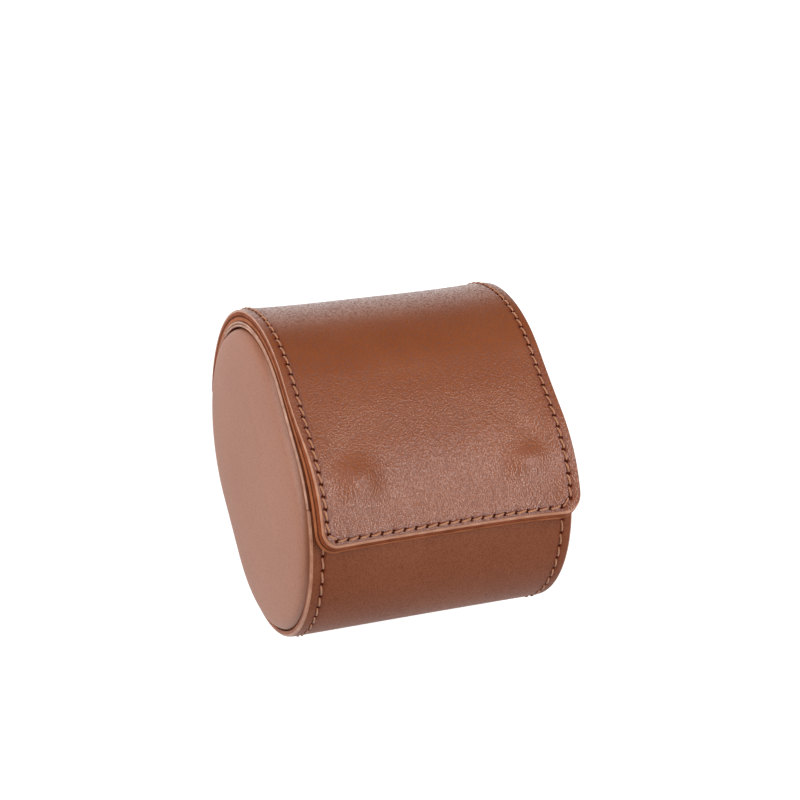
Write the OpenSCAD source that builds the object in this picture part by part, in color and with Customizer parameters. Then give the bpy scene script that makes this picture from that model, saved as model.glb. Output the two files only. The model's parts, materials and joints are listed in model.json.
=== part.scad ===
// Watch travel case: a leather barrel with a stadium profile, padded ends, a stitched flap over its
// mouth and a loose cushion inside. It lies on the narrow flat of its barrel. X runs along the barrel,
// -Y is the front, +Z is up, and the origin is the middle of the flat that it rests on.
// Angles are those of the barrel's outward normal, from +Y (rear) over +Z (top) to -Y (front).

/* [Barrel] */
// Length of the barrel between its two rims
body_length = 70; // [56:1:110]
// Outer radius of the rounded front and rear
end_radius = 33; // [30:0.5:42]
// Straight part of the profile between the two rounded sides
flat_length = 18; // [12:1:36]
// Thickness of the outer wrap leather
wrap_t = 1.5; // [1.2:0.1:2.2]
// Thickness of the stiff board under the wrap
board_t = 2; // [1.6:0.1:3]
// Thickness of the suede lining inside
lining_t = 0.8; // [0.5:0.1:1.5]
// Thickness of the two end boards
end_board_t = 2; // [1.5:0.1:3]
// Depth of an end board's outer face behind the rim
end_recess = 1.5; // [0.8:0.1:3]
// Glue line between curved layers
glue = 0.05; // [0.02:0.01:0.1]

/* [Mouth] */
// Angle of the mouth's rear edge, where the flap hinges
mouth_rear = 42; // [34:1:54]
// Angle of the mouth's front edge
mouth_front = 104; // [98:1:108]
// Width of the leather rim strip on each end of the mouth
rim_width = 3; // [2.6:0.1:5]
// How far a rim strip runs past the mouth's front and rear edge, along the barrel's skin
rim_reach = 6.3; // [3:0.1:9]
// Gap where a rim strip meets the wrap
rim_gap = 0.1; // [0.05:0.05:0.3]

/* [Padded ends] */
// Gap between the wrap and an end cap's side
cap_gap = 0.5; // [0.3:0.1:1]
// Thickness of the cap leather
cap_t = 1.2; // [0.8:0.1:1.6]
// Height of the cap's edge above the rim
cap_rise = 1.8; // [0.8:0.1:4]
// Crown of the cap above its edge
cap_crown = 1.7; // [0.8:0.1:4]
// Radius of the cap's rounded shoulder
cap_shoulder = 1.6; // [1.4:0.1:2.2]

/* [Flap] */
// Thickness of the flap's outer leather
flap_leather_t = 1.7; // [1.4:0.1:2.4]
// Thickness of the flap's lining leather
flap_lining_t = 1.2; // [1:0.1:2]
// Gap between the closed flap and the barrel
flap_lift = 0.5; // [0.4:0.1:1]
// How far the flap's sides stand in from the rims
flap_inset = 0.3; // [0:0.1:2]
// How far the closed flap reaches past the mouth's front edge, along the barrel's skin
flap_overlap = 15.8; // [13:0.1:22]
// Corner radius of the flap's front edge
flap_corner = 5.5; // [3:0.5:9]
// Angle of the lower end of the fixed rear part of the flap
anchor_end = -40; // [-75:1:-10]
// Gap between the moving flap and its fixed rear part, at the bend
hinge_gap = 0.2; // [0.1:0.1:0.5]

/* [Stitching] */
// Thread diameter
thread_d = 0.7; // [0.4:0.1:0.9]
// Visible length of a stitch on the barrel and the flap
stitch_length = 2.4; // [1.5:0.1:3]
// Stitch pitch on the barrel
shell_pitch = 3.4; // [3.2:0.1:6]
// Stitch pitch on the flap
flap_pitch = 3.3; // [3.1:0.1:6]
// Distance of the barrel's stitch rows from the rims
shell_margin = 2.6; // [1.5:0.1:5]
// Distance of the flap's stitch rows from its edges
flap_margin = 2.2; // [1.2:0.1:2.9]
// Clearance between a thread and the barrel's stitch channel
thread_gap = 0.05; // [0.02:0.01:0.1]
// Height that the stitches of the flap stand above its leather
thread_stand = 0.2; // [0.1:0.05:0.3]

/* [Magnets] */
// Diameter of the closing magnets
magnet_d = 8; // [5:0.5:9]
// Thickness of the closing magnets
magnet_t = 1; // [0.8:0.1:1.2]
// Distance of the magnets from the rims, along the barrel
magnet_side = 11; // [9:0.5:20]
// Distance of the magnets below the mouth's front edge, along the barrel's skin
magnet_below = 7; // [6.5:0.1:8]
// Clearance of a magnet in its pocket
magnet_gap = 0.05; // [0.02:0.01:0.15]
// Leather or board left under a magnet pocket
magnet_floor = 0.4; // [0.3:0.1:0.6]

/* [Cushion] */
// Room in front of and behind the cushion, for a strap
strap_room = 9.7; // [7:0.1:14]
// Room above the cushion, for a watch head
watch_room = 21; // [17:0.5:26]
// Room beside each end of the cushion
cushion_side = 1.7; // [0.5:0.1:6]
// Gap between the cushion and the lining it lies on
cushion_seat = 0.3; // [0.1:0.1:1]
// Thickness of the cushion's suede cover
cover_t = 0.8; // [0.5:0.1:1.5]

/* [Hidden] */
$fn = 120;

half_len = body_length / 2;
half_flat = flat_length / 2;
axis_z = end_radius;

// Radii of the barrel's layers, from the outside in
wrap_in = end_radius - wrap_t;
board_in = wrap_in - board_t;
lining_in = board_in - lining_t;

// Stations along the barrel of the ends' layers
end_out = half_len - end_recess;
end_in = end_out - end_board_t;
end_lined = end_in - lining_t;
rim_in = half_len - rim_width;

// Radii of the flap's layers, from the inside out
flap_in = end_radius + flap_lift;
flap_mid = flap_in + flap_lining_t;
flap_out = flap_mid + flap_leather_t;
flap_half = half_len - flap_inset;

// An arc length on the barrel's skin or on the flap, as an angle
function skin_angle(len) = len / end_radius * 180 / PI;
function flap_angle(len) = len / flap_out * 180 / PI;

turned_edge = skin_angle(wrap_t);
flap_front = mouth_front + skin_angle(flap_overlap);
rim_from = mouth_rear - skin_angle(rim_reach);
rim_to = mouth_front + skin_angle(rim_reach);
hinge_half = flap_angle(hinge_gap / 2);

// The barrel's stitch channel is as deep as the thread, so that no thread stands below the flat
channel_w = thread_d + 2 * thread_gap;
channel_d = thread_d + thread_gap;
shell_thread_r = end_radius - channel_d + thread_gap / 2 + thread_d / 2;
flap_thread_r = flap_out + thread_stand - thread_d / 2;
shell_row_x = half_len - shell_margin;
flap_row_x = flap_half - flap_margin;
anchor_row_end = anchor_end + flap_angle(flap_margin);
corner_row = flap_corner - flap_margin;
corner_at = flap_front - asin(flap_corner / flap_out);
// Drop of the flap's skin from the corners' middle to the front row
front_drop = flap_out - sqrt(flap_out * flap_out - corner_row * corner_row);
// The flap's layers are cut from a blank that runs this far past the front edge, in degrees
blank_past = 6;

magnet_x = half_len - magnet_side;
magnet_at = mouth_front + skin_angle(magnet_below);
magnet_r = magnet_d / 2;
// A flat disc under a curved layer lies as high as its rim allows
shell_magnet_top = sqrt(pow(wrap_in - glue, 2) - pow(magnet_r + magnet_gap, 2)) - magnet_gap;
flap_magnet_base = flap_in + magnet_floor + magnet_gap;

cap_r = wrap_in - cap_gap;
cap_height = end_recess + cap_rise + cap_crown;

cushion_half = end_lined - cushion_side;
cushion_r = lining_in - (watch_room + cushion_seat) / 2;
cushion_flat = half_flat + lining_in - strap_room - cushion_r;
cushion_z = axis_z - lining_in + cushion_seat + cushion_r;

reach = 3 * (end_radius + half_flat);
cut = 1;

tan_leather = [0.64, 0.36, 0.23];
dark_leather = [0.52, 0.28, 0.18];
pale_leather = [0.76, 0.58, 0.48];
lining_leather = [0.72, 0.42, 0.24];
suede = [0.82, 0.72, 0.60];
thread = [0.80, 0.52, 0.32];
board = [0.62, 0.58, 0.52];
foam = [0.93, 0.91, 0.84];
steel = [0.72, 0.73, 0.75];

// Middle of the rounding that a normal at angle a belongs to
function nose(a) = a > 90 && a < 270 ? -half_flat : half_flat;
function skin(a, r) = [nose(a) + r * cos(a), axis_z + r * sin(a)];

// Point and normal angle at distance s along the profile of radius r, from the rear lower tangent up
function along(s, r) =
    s < PI * r ? [skin(s / r * 180 / PI - 90, r), s / r * 180 / PI - 90]
    : s < PI * r + flat_length ? [[half_flat - (s - PI * r), axis_z + r], 90]
    : s < 2 * PI * r + flat_length ?
        [skin((s - flat_length) / r * 180 / PI - 90, r), (s - flat_length) / r * 180 / PI - 90]
    : [[s - 2 * PI * r - flat_length - half_flat, axis_z - r], 270];
// Distance along the profile of radius r at which the normal stands at angle a
function run_to(a, r) = (a + 90) * PI / 180 * r + (a > 90 ? flat_length : 0);

// Extrudes a profile drawn in Y and Z from x0 to x1
module lengthwise(x0, x1) {
    translate([x0, 0, 0]) rotate([90, 0, 90]) linear_extrude(x1 - x0) children();
}

module stadium(r, flat = half_flat, z = axis_z) {
    for (s = [-1, 1]) translate([s * flat, z]) circle(r);
    translate([-flat, z - r]) square([2 * flat, 2 * r]);
}

module band(r0, r1) {
    difference() {
        stadium(r1);
        stadium(r0);
    }
}

// Fan of the profile between two normals
module zone(a0, a1) {
    steps = ceil((a1 - a0) / 30);
    fan = [for (i = [0 : steps]) skin(a0 + (a1 - a0) * i / steps, reach)];
    polygon(concat([[nose(a0), axis_z]], fan, [[nose(a1), axis_z]]));
}

module band_zone(r0, r1, a0, a1) {
    intersection() {
        band(r0, r1);
        zone(a0, a1);
    }
}

// Puts the children at height r on the normal at angle a, with that normal as their Z
module on_normal(a, r, x) {
    p = skin(a, r);
    translate([x, p[0], p[1]]) rotate([a - 90, 0, 0]) children();
}

module stitch(len) {
    cylinder(d = thread_d, h = len, center = true, $fn = 24);
}

// Stitches along the profile of radius r, from normal a0 to normal a1
module profile_stitches(a0, a1, r, x, pitch) {
    s0 = run_to(a0, r);
    s1 = a1 > 270 ? run_to(270, r) + flat_length + (a1 - 270) * PI / 180 * r : run_to(a1, r);
    count = floor((s1 - s0) / pitch);
    for (i = [0 : count - 1]) {
        s = s0 + (i + 0.5) * (s1 - s0) / count;
        s_loop = s > 2 * (PI * r + flat_length) ? s - 2 * (PI * r + flat_length) : s;
        at = along(s_loop, r);
        translate([x, at[0][0], at[0][1]]) rotate([at[1], 0, 0]) stitch(stitch_length);
    }
}

// Stitches along the barrel at one normal
module cross_stitches(a, r, x0, x1, pitch) {
    count = floor((x1 - x0) / pitch);
    for (i = [0 : count - 1])
        on_normal(a, r, x0 + (i + 0.5) * (x1 - x0) / count) rotate([0, 90, 0]) stitch(stitch_length);
}

// ---------------------------------------------------------------- barrel

module shell_board() {
    color(board) difference() {
        lengthwise(-end_in, end_in) difference() {
            band(board_in, wrap_in - glue);
            zone(mouth_rear - turned_edge, mouth_front + turned_edge);
        }
        for (s = [-1, 1])
            on_normal(magnet_at, shell_magnet_top - magnet_t - magnet_gap, s * magnet_x)
                cylinder(r = magnet_r + magnet_gap, h = board_t + cut);
    }
}

module shell_leather() {
    color(tan_leather) {
        difference() {
            lengthwise(-half_len, half_len) difference() {
                band(wrap_in, end_radius);
                zone(mouth_rear, mouth_front);
            }
            for (s = [0, 1]) mirror([s, 0, 0]) {
                lengthwise(rim_in - rim_gap, half_len + cut) zone(rim_from, rim_to);
                lengthwise(shell_row_x - channel_w / 2, shell_row_x + channel_w / 2)
                    difference() {
                        band(end_radius - channel_d, end_radius + cut);
                        zone(anchor_end, rim_to);
                    }
            }
        }
        // The wrap turned in over the board at the mouth's two edges
        for (a = [mouth_rear - turned_edge, mouth_front])
            lengthwise(-end_in + glue, end_in - glue)
                band_zone(board_in, wrap_in + wrap_t / 2, a + skin_angle(glue), a + turned_edge - skin_angle(glue));
    }
}

module shell_lining() {
    color(suede) lengthwise(-end_in, end_in) difference() {
        band(lining_in, board_in - glue);
        zone(mouth_rear, mouth_front);
    }
}

module shell_stitching() {
    color(thread) for (s = [-1, 1])
        profile_stitches(rim_to, 360 + anchor_end, shell_thread_r, s * shell_row_x, shell_pitch);
}

module shell_magnets() {
    color(steel) for (s = [-1, 1])
        on_normal(magnet_at, shell_magnet_top - magnet_t, s * magnet_x)
            cylinder(r = magnet_r, h = magnet_t);
}

// ---------------------------------------------------------------- ends

module end_board() {
    color(board) lengthwise(end_in, end_out) stadium(wrap_in - glue);
}

module end_lining() {
    color(suede) lengthwise(end_lined, end_in) stadium(lining_in - glue);
}

// Half profile of a crowned pad: a flat foot, a straight side, a round shoulder and a wide crown
module crown_profile(r, h) {
    big = (r * r + cap_crown * cap_crown) / (2 * cap_crown);
    low = h - big;
    sx = r - cap_shoulder;
    sy = low + sqrt(pow(big - cap_shoulder, 2) - sx * sx);
    far = 2 * h / (h - low);
    square([r, sy]);
    translate([sx, sy]) intersection() {
        circle(cap_shoulder, $fn = 48);
        square(2 * cap_shoulder);
    }
    intersection() {
        translate([0, low]) circle(big, $fn = 720);
        polygon([[0, sy], [sx, sy], [sx * (1 + far), sy + (sy - low) * far], [0, sy + (sy - low) * far]]);
    }
}

// The crowned pad on a stadium plan, standing on x0 and rising along X
module crowned_pad(x0, r, h) {
    translate([x0, 0, axis_z]) rotate([90, 0, 90]) {
        for (s = [0, 1]) mirror([s, 0, 0])
            translate([half_flat, 0, 0]) rotate([0, 0, -90]) rotate_extrude(angle = 180) crown_profile(r, h);
        translate([-half_flat, 0, 0]) rotate([90, 0, 90]) linear_extrude(flat_length) {
            crown_profile(r, h);
            mirror([1, 0, 0]) crown_profile(r, h);
        }
    }
}

module end_pad() {
    color(foam) crowned_pad(end_out, cap_r - cap_t - glue, cap_height - cap_t - glue);
}

module end_cap() {
    color(pale_leather) difference() {
        crowned_pad(end_out, cap_r, cap_height);
        crowned_pad(end_out, cap_r - cap_t, cap_height - cap_t);
    }
}

module mouth_rim() {
    join = skin_angle(rim_gap);
    color(dark_leather) lengthwise(rim_in, half_len)
        band_zone(wrap_in, end_radius, rim_from + join, rim_to - join);
}

// ---------------------------------------------------------------- fixed rear part of the flap

module flap_anchor_leather() {
    color(tan_leather) lengthwise(-flap_half, flap_half)
        band_zone(flap_mid + glue, flap_out, anchor_end, mouth_rear - hinge_half);
}

module flap_anchor_lining() {
    color(lining_leather) lengthwise(-flap_half, flap_half)
        band_zone(end_radius + glue, flap_mid, anchor_end, mouth_rear - hinge_half);
}

module flap_anchor_stitching() {
    color(thread) {
        for (s = [-1, 1])
            profile_stitches(anchor_row_end + flap_angle(thread_d), mouth_rear - hinge_half,
                             flap_thread_r, s * flap_row_x, flap_pitch);
        cross_stitches(anchor_row_end, flap_thread_r, -flap_row_x, flap_row_x, flap_pitch);
    }
}

// ---------------------------------------------------------------- moving flap

// Plan of the flap's front, seen along the normal between its two round corners
module flap_plan() {
    inner = flap_half - flap_corner;
    for (s = [-1, 1]) translate([s * inner, 0]) circle(flap_corner);
    translate([-inner, -flap_corner]) square([2 * inner, flap_corner + cut]);
    translate([-flap_half, 0]) square([2 * flap_half, reach]);
}

// One layer of the moving flap, from the bend to the round-cornered front edge
module flap_layer(r0, r1) {
    intersection() {
        lengthwise(-flap_half - cut, flap_half + cut)
            band_zone(r0, r1, mouth_rear + hinge_half, flap_front + blank_past);
        on_normal(corner_at, -flap_out, 0) linear_extrude(3 * flap_out) flap_plan();
    }
}

module flap_magnet_pockets() {
    for (s = [-1, 1])
        on_normal(magnet_at, flap_magnet_base - magnet_gap, s * magnet_x)
            cylinder(r = magnet_r + magnet_gap, h = magnet_t + 2 * magnet_gap);
}

module flap_leather() {
    color(tan_leather) difference() {
        flap_layer(flap_mid + glue, flap_out);
        flap_magnet_pockets();
    }
}

module flap_lining() {
    color(lining_leather) difference() {
        flap_layer(flap_in, flap_mid);
        flap_magnet_pockets();
    }
}

module flap_stitching() {
    inner = flap_half - flap_corner;
    count = floor(2 * inner / flap_pitch);
    color(thread) {
        for (s = [-1, 1])
            profile_stitches(mouth_rear + hinge_half, corner_at, flap_thread_r, s * flap_row_x, flap_pitch);
        on_normal(corner_at, flap_thread_r, 0) {
            for (i = [0 : count - 1])
                translate([(i + 0.5) * 2 * inner / count - inner, -corner_row, -front_drop])
                    rotate([0, 90, 0]) stitch(stitch_length);
            for (s = [0, 1], a = [-22.5, -67.5]) mirror([s, 0, 0])
                translate([inner, 0, -front_drop / 2]) rotate([0, 0, a]) translate([corner_row, 0, 0])
                    rotate([90, 0, 0]) stitch(corner_row / 2);
        }
    }
}

module flap_magnets() {
    color(steel) for (s = [-1, 1])
        on_normal(magnet_at, flap_magnet_base, s * magnet_x) cylinder(r = magnet_r, h = magnet_t);
}

// ---------------------------------------------------------------- cushion

module cushion_foam() {
    color(foam) lengthwise(-cushion_half + cover_t, cushion_half - cover_t)
        stadium(cushion_r - cover_t - glue, cushion_flat, cushion_z);
}

module cushion_cover() {
    color(suede) lengthwise(-cushion_half + cover_t, cushion_half - cover_t) difference() {
        stadium(cushion_r, cushion_flat, cushion_z);
        stadium(cushion_r - cover_t, cushion_flat, cushion_z);
    }
}

module cushion_end() {
    color(suede) lengthwise(cushion_half - cover_t, cushion_half) stadium(cushion_r, cushion_flat, cushion_z);
}

shell_board();
shell_leather();
shell_lining();
shell_stitching();
shell_magnets();
mirror([1, 0, 0]) end_board();  // end_board_left
end_board();  // end_board_right
mirror([1, 0, 0]) end_lining();  // end_lining_left
end_lining();  // end_lining_right
mirror([1, 0, 0]) end_pad();  // end_pad_left
end_pad();  // end_pad_right
mirror([1, 0, 0]) end_cap();  // end_cap_left
end_cap();  // end_cap_right
mirror([1, 0, 0]) mouth_rim();  // mouth_rim_left
mouth_rim();  // mouth_rim_right
flap_anchor_leather();
flap_anchor_lining();
flap_anchor_stitching();
flap_leather();
flap_lining();
flap_stitching();
flap_magnets();
cushion_foam();
cushion_cover();
mirror([1, 0, 0]) cushion_end();  // cushion_end_left
cushion_end();  // cushion_end_right
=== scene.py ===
# %% [markdown]
# # A leather travel case for one watch
# The real case is a stiff barrel wrapped in pebbled cognac leather. A stitched flap closes over its mouth, and
# two padded caps close its ends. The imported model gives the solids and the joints. This lesson dresses them:
# it replaces the visible solids with leather that bends, sags and puckers, and leaves the hidden ones alone.

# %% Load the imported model
import json
import math
import bpy
import numpy as np
from mathutils import Matrix, Vector

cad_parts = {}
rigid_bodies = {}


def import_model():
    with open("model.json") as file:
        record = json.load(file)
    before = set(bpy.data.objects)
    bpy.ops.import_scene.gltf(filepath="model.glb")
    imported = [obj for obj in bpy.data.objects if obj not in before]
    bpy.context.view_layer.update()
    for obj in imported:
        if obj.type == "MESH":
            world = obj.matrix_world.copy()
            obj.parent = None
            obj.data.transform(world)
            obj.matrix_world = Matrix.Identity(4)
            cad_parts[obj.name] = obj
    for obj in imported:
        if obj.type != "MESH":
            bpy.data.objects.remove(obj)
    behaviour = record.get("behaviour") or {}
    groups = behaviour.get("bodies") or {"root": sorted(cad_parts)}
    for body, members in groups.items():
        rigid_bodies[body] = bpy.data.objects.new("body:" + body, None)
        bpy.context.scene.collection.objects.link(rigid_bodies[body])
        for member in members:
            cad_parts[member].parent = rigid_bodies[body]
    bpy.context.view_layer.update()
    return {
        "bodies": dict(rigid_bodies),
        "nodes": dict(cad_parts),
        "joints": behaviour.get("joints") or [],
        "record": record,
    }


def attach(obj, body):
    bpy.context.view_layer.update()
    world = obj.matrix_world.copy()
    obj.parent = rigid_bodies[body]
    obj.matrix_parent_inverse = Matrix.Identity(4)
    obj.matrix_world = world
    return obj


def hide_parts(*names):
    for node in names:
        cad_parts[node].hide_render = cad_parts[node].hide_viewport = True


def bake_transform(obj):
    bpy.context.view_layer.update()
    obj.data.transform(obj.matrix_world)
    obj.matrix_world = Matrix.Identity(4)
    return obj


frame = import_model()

# %% [markdown]
# ## The profile
# Every leather piece follows one line: the barrel's profile, two half circles joined by short flats. A place on
# the case is then three numbers: x along the barrel, s along the profile, and a height above the barrel's skin.
# Working in these numbers keeps all the layers parallel, which separate circles and boxes wouldn't do.

# %% Places on the barrel's skin
MM = 0.001
SKIN_R = 33 * MM
HALF_FLAT = 9 * MM
AXIS_Z = 33 * MM
HALF_LEN = 35 * MM
RIM_PLANE = 35.4 * MM
REAR_ANGLE, FRONT_ANGLE = 42, 104           # the mouth's two edges, in degrees round the axis
NOSE = math.pi * SKIN_R
AROUND = 2 * NOSE + 4 * HALF_FLAT


def station(angle):
    """Distance along the skin, from the rear lower tangent up, to the normal at this angle."""
    return (angle + 90) / 180 * NOSE + (2 * HALF_FLAT if angle > 90 else 0)


def normal_angle(s):
    s = np.mod(s, AROUND)
    return np.where(s < NOSE, s / SKIN_R - math.pi / 2,
           np.where(s < NOSE + 2 * HALF_FLAT, math.pi / 2,
           np.where(s < 2 * NOSE + 2 * HALF_FLAT, (s - 2 * HALF_FLAT) / SKIN_R - math.pi / 2, 1.5 * math.pi)))


def place(x, s, h):
    """The point at x, at s along the skin, at height h above it."""
    x, s, h = np.broadcast_arrays(np.asarray(x, float), np.asarray(s, float), np.asarray(h, float))
    a, t = normal_angle(s), np.mod(s, AROUND)
    y = np.where(t < NOSE, HALF_FLAT,
        np.where(t < NOSE + 2 * HALF_FLAT, HALF_FLAT - (t - NOSE),
        np.where(t < 2 * NOSE + 2 * HALF_FLAT, -HALF_FLAT, t - 2 * NOSE - 3 * HALF_FLAT)))
    return np.stack([x, y + (SKIN_R + h) * np.cos(a), AXIS_Z + (SKIN_R + h) * np.sin(a)], -1)


MOUTH_REAR, MOUTH_FRONT = station(REAR_ANGLE), station(FRONT_ANGLE)
FLAP_FRONT = MOUTH_FRONT + 17.2 * MM
ANCHOR_END = station(-40)
RIM_REACH = 6.3 * MM
REAR_NOTCH = station(4)
print("round the skin: %.1f mm, of which the mouth %.1f mm" % (AROUND / MM, (MOUTH_FRONT - MOUTH_REAR) / MM))

# %% [markdown]
# ## The camera
# The camera stands where the photograph was taken from. Its place was fitted to the rims and the flap's
# outline, so the case leans in the picture as it does there, although it lies flat on its base here.

# %% Camera
PICTURE_PIXELS, FOCAL_PIXELS, SENSOR_MM = 800, 2079.33, 36
camera = bpy.data.objects.new("camera", bpy.data.cameras.new("camera"))
camera.data.sensor_width = SENSOR_MM
camera.data.lens = FOCAL_PIXELS / PICTURE_PIXELS * SENSOR_MM
camera.data.clip_start = 0.01
axes = Matrix(((0.926324, -0.266385, 0.266390),
               (0.121822, 0.880931, 0.457297),
               (-0.356488, -0.391153, 0.848478)))      # rows: the camera's right, up and back
camera.matrix_world = Matrix.Translation((-0.190761, -0.201855, 0.474643 + AXIS_Z)) @ axes.transposed().to_4x4()
bpy.context.collection.objects.link(camera)
bpy.context.scene.camera = camera

# %% [markdown]
# ## Leather
# This leather is a drum-dyed hide with a fine printed pebble and a satin finish. The pebble is a third to half
# a millimetre across, so it is too fine to model: it is cells of bump. The colour drifts a little over a few
# centimetres, and the valleys of the grain are painted darker, as painted shade in the hollows. The coordinates
# are UVs in millimetres along the hide, so the grain isn't stretched by the curve and travels with the flap
# when it bends. Beside the threads the leather is painted darker, as painted shade in the troughs that the
# stitches draw down, by a value that each piece keeps at its points.

# %% Material helpers
def shader(name, colour, roughness, specular=0.5, sheen=0.0):
    material = bpy.data.materials.new(name)
    material.use_nodes = True
    tree = material.node_tree
    surface = tree.nodes["Principled BSDF"]
    surface.inputs["Base Color"].default_value = (*colour, 1)
    surface.inputs["Roughness"].default_value = roughness
    surface.inputs["Specular IOR Level"].default_value = specular
    surface.inputs["Sheen Weight"].default_value = sheen
    return material, tree, surface


def add(tree, kind, **settings):
    node = tree.nodes.new(kind)
    for key, value in settings.items():
        if key in node.inputs:
            node.inputs[key].default_value = value
        else:
            setattr(node, key, value)
    return node


def feed(tree, node, *values):
    """Give a node its inputs in order: a link for another node's output, a constant for the rest."""
    for socket, value in zip(node.inputs, values):
        if isinstance(value, bpy.types.NodeSocket):
            tree.links.new(value, socket)
        else:
            socket.default_value = value
    return node.outputs[0]


def calc(tree, operation, *values):
    return feed(tree, add(tree, "ShaderNodeMath", operation=operation), *values)


def multiply(tree, amount, colour, by):
    return feed(tree, add(tree, "ShaderNodeMixRGB", blend_type="MULTIPLY"), amount, colour, by)


def remap(tree, source, low, high, to_low, to_high, **settings):
    return feed(tree, add(tree, "ShaderNodeMapRange", **settings), source, low, high, to_low, to_high)


def noise(tree, where, **settings):
    node = add(tree, "ShaderNodeTexNoise", **settings)
    tree.links.new(where, node.inputs["Vector"])
    return node.outputs["Fac"]


def relief(tree, surface, source, strength, distance):
    """Raise the surface where the source is high."""
    bump = add(tree, "ShaderNodeBump", Strength=strength, Distance=distance)
    tree.links.new(source, bump.inputs["Height"])
    tree.links.new(bump.outputs["Normal"], surface.inputs["Normal"])


def ramp(tree, source, stops):
    node = add(tree, "ShaderNodeValToRGB")
    tree.links.new(source, node.inputs["Fac"])
    elements = node.color_ramp.elements
    while len(elements) < len(stops):
        elements.new(0.5)
    for element, (position, colour) in zip(elements, stops):
        element.position = position
        element.color = (*colour, 1)
    return node.outputs["Color"]


def hide_millimetres(tree):
    return add(tree, "ShaderNodeUVMap", uv_map="hide_mm").outputs["UV"]


def object_millimetres(tree):
    scale = add(tree, "ShaderNodeVectorMath", operation="SCALE", Scale=1000)
    tree.links.new(add(tree, "ShaderNodeTexCoord").outputs["Object"], scale.inputs[0])
    return scale.outputs[0]


def linear(r, g, b):
    """A colour read from 0 to 255, as the shader's linear values."""
    return tuple(((c / 255 + 0.055) / 1.055) ** 2.4 if c > 10 else c / 255 / 12.92 for c in (r, g, b))


# %% Grain leather
PEBBLE_DEPTH, PORE_DEPTH = 0.00009, 0.00004
# painted shade: this colour darkens the leather in the troughs that the stitch rows draw down
stitch_groove_shade_colour = linear(206, 150, 118)
# painted shade in the grain's valleys: the hollows between the pebbles are darkened by this colour
valley_painted_shade = (0.55, 0.46, 0.42)


def grain_leather(name, deep, mid, pale, pebble_mm, grain, roughness, coords=hide_millimetres,
                  specular=0.5, drawn_smooth=None):
    """drawn_smooth gives two places along the hide in mm and the grain's height at each of them."""
    material, tree, surface = shader(name, mid, roughness[0], specular)
    where = coords(tree)
    drift = noise(tree, where, Scale=0.045, Detail=3.0, Roughness=0.55)
    pores = noise(tree, where, Scale=3.0, Detail=3.0, Roughness=0.6)
    voronoi = add(tree, "ShaderNodeTexVoronoi", feature="F1", Scale=1 / pebble_mm, Randomness=0.95)
    tree.links.new(where, voronoi.inputs["Vector"])
    cells = voronoi.outputs["Distance"]

    hide = ramp(tree, drift, [(0.30, deep), (0.52, mid), (0.74, pale)])
    # the valleys between the pebble cells are painted darker: painted shade
    hide_with_valley_shade = multiply(tree, 0.6, hide, ramp(tree, cells, [(0.25, (1, 1, 1)), (0.75, valley_painted_shade)]))
    # painted shade beside the threads, where the stitches draw the leather down
    stitch_groove_shade_amount = add(tree, "ShaderNodeAttribute", attribute_name="stitch_groove_shade").outputs["Fac"]
    tree.links.new(multiply(tree, stitch_groove_shade_amount, hide_with_valley_shade, (*stitch_groove_shade_colour, 1)), surface.inputs["Base Color"])

    satin = remap(tree, pores, 0.35, 0.70, *roughness)
    matt_valleys = remap(tree, cells, 0.30, 0.75, 0.0, 0.30 * grain)
    tree.links.new(calc(tree, "ADD", satin, matt_valleys), surface.inputs["Roughness"])

    pebble = add(tree, "ShaderNodeBump", Strength=grain, Distance=PEBBLE_DEPTH, invert=True)
    if drawn_smooth is not None:
        along = add(tree, "ShaderNodeSeparateXYZ")
        tree.links.new(where, along.inputs[0])
        height = remap(tree, along.outputs["Y"], *drawn_smooth, interpolation_type="SMOOTHSTEP")
        tree.links.new(height, pebble.inputs["Strength"])
    fine = add(tree, "ShaderNodeBump", Strength=0.35 * grain, Distance=PORE_DEPTH)
    tree.links.new(cells, pebble.inputs["Height"])
    tree.links.new(pores, fine.inputs["Height"])
    tree.links.new(pebble.outputs["Normal"], fine.inputs["Normal"])
    tree.links.new(fine.outputs["Normal"], surface.inputs["Normal"])
    return material


flap_face = grain_leather("flap_face_leather", linear(133, 69, 35), linear(138, 74, 39), linear(143, 79, 44),
                          0.49, 1.0, (0.19, 0.26), specular=0.68, drawn_smooth=(94, 116, 0.32, 1.12))
barrel_face = grain_leather("barrel_face_leather", linear(126, 70, 45), linear(131, 75, 49),
                            linear(136, 79, 53), 0.34, 0.35, (0.40, 0.50), specular=0.10)
cap_face = grain_leather("cap_face_leather", linear(151, 84, 45), linear(155, 88, 49), linear(159, 92, 53),
                         0.30, 0.16, (0.46, 0.54), coords=object_millimetres, specular=1.0)
lining_face = grain_leather("lining_face_leather", linear(162, 90, 56), linear(172, 100, 64),
                            linear(182, 112, 76), 0.36, 0.30, (0.50, 0.62))

# %% [markdown]
# A cut edge isn't grain. It is the hide's section: fibres pressed together, painted once and rubbed. Long thin
# streaks along the edge give its fibres, and the paint is patchy, so that lighter fibres show through.

# %% Cut edges
def cut_edge(name, dark, light, roughness=0.55, specular=0.5, streak=1.0):
    material, tree, surface = shader(name, light, roughness, specular)
    where = object_millimetres(tree)
    fibres = noise(tree, where, Scale=2.6, Detail=6.0, Roughness=0.75, Distortion=0.6)
    patches = noise(tree, where, Scale=0.35, Detail=3.0)
    paint = calc(tree, "MULTIPLY_ADD", patches, 0.6, -0.05)
    shade = calc(tree, "MULTIPLY_ADD", fibres, 0.5 * streak, paint)
    tree.links.new(ramp(tree, shade, [(0.32, dark), (0.68, light)]), surface.inputs["Base Color"])
    relief(tree, surface, fibres, 0.5 * streak, 0.00007)
    return material


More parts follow.
